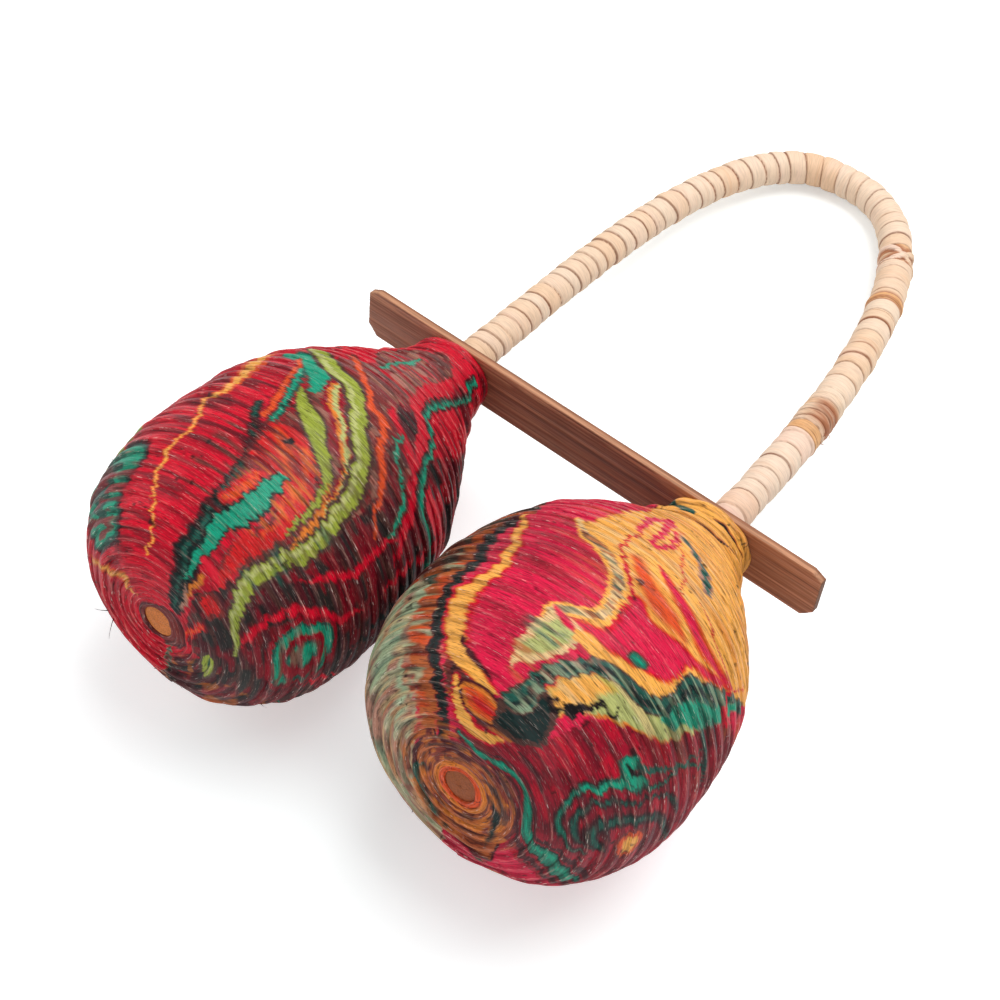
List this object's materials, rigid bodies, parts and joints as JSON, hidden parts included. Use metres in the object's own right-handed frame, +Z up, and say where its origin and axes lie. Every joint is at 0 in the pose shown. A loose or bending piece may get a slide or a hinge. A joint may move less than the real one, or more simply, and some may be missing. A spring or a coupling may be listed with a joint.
{
  "type": "pair of coiled maracas",
  "caption": "Twin coiled palm-leaf rattles on one bent cane with a peel-wrapped loop handle, a wooden crossbar and loose seeds inside.",
  "frame": {"origin": "on the table under the middle of the whole object's box", "axes": "+Z up from the table, +X along the crossbar towards the right shell, +Y towards the handle loop"},
  "size_m": [0.16, 0.2653, 0.0809],
  "materials": {
    "cane": "satin",
    "rattan_peel": "matte",
    "dark_peel": "matte",
    "slat": "matte",
    "marbled_leaf_left": "varnished",
    "marbled_leaf_right": "varnished",
    "seed": "satin"
  },
  "bodies": {
    "maracas": {"cane": "cane", "crossbar": "slat", "left_leg_peel": "rattan_peel", "arch_peel": "rattan_peel", "splice_knot_peel": "dark_peel", "narrow_turns_peel": "rattan_peel", "right_arch_peel": "rattan_peel", "dark_splice_peel": "dark_peel", "right_leg_peel": "rattan_peel", "left_tip_ring": "marbled_leaf_left", "left_lower_coil": "marbled_leaf_left", "left_upper_coil": "marbled_leaf_left", "left_neck_leaf": "marbled_leaf_left", "right_tip_ring": "marbled_leaf_right", "right_lower_coil": "marbled_leaf_right", "right_upper_coil": "marbled_leaf_right", "right_neck_leaf": "marbled_leaf_right"},
    "left_seed_1": {"left_seed_1": "seed"},
    "left_seed_2": {"left_seed_2": "seed"},
    "left_seed_3": {"left_seed_3": "seed"},
    "left_seed_4": {"left_seed_4": "seed"},
    "left_seed_5": {"left_seed_5": "seed"},
    "right_seed_1": {"right_seed_1": "seed"},
    "right_seed_2": {"right_seed_2": "seed"},
    "right_seed_3": {"right_seed_3": "seed"},
    "right_seed_4": {"right_seed_4": "seed"},
    "right_seed_5": {"right_seed_5": "seed"}
  },
  "joints": [
    {"name": "left_seed_1_hop", "type": "slide", "parent": "maracas", "child": "left_seed_1", "axis": [-0.011, 0.1566, 0.9876], "range_m": [0, 0.05874]},
    {"name": "left_seed_2_hop", "type": "slide", "parent": "maracas", "child": "left_seed_2", "axis": [-0.011, 0.1566, 0.9876], "range_m": [0, 0.05818]},
    {"name": "left_seed_3_hop", "type": "slide", "parent": "maracas", "child": "left_seed_3", "axis": [-0.011, 0.1566, 0.9876], "range_m": [0, 0.05695]},
    {"name": "left_seed_4_hop", "type": "slide", "parent": "maracas", "child": "left_seed_4", "axis": [-0.011, 0.1566, 0.9876], "range_m": [0, 0.05865]},
    {"name": "left_seed_5_hop", "type": "slide", "parent": "maracas", "child": "left_seed_5", "axis": [-0.011, 0.1566, 0.9876], "range_m": [0, 0.05512]},
    {"name": "right_seed_1_hop", "type": "slide", "parent": "maracas", "child": "right_seed_1", "axis": [-0.0119, 0.2059, 0.9785], "range_m": [0, 0.06308]},
    {"name": "right_seed_2_hop", "type": "slide", "parent": "maracas", "child": "right_seed_2", "axis": [-0.0119, 0.2059, 0.9785], "range_m": [0, 0.06283]},
    {"name": "right_seed_3_hop", "type": "slide", "parent": "maracas", "child": "right_seed_3", "axis": [-0.0119, 0.2059, 0.9785], "range_m": [0, 0.06173]},
    {"name": "right_seed_4_hop", "type": "slide", "parent": "maracas", "child": "right_seed_4", "axis": [-0.0119, 0.2059, 0.9785], "range_m": [0, 0.06301]},
    {"name": "right_seed_5_hop", "type": "slide", "parent": "maracas", "child": "right_seed_5", "axis": [-0.0119, 0.2059, 0.9785], "range_m": [0, 0.05871]}
  ]
}
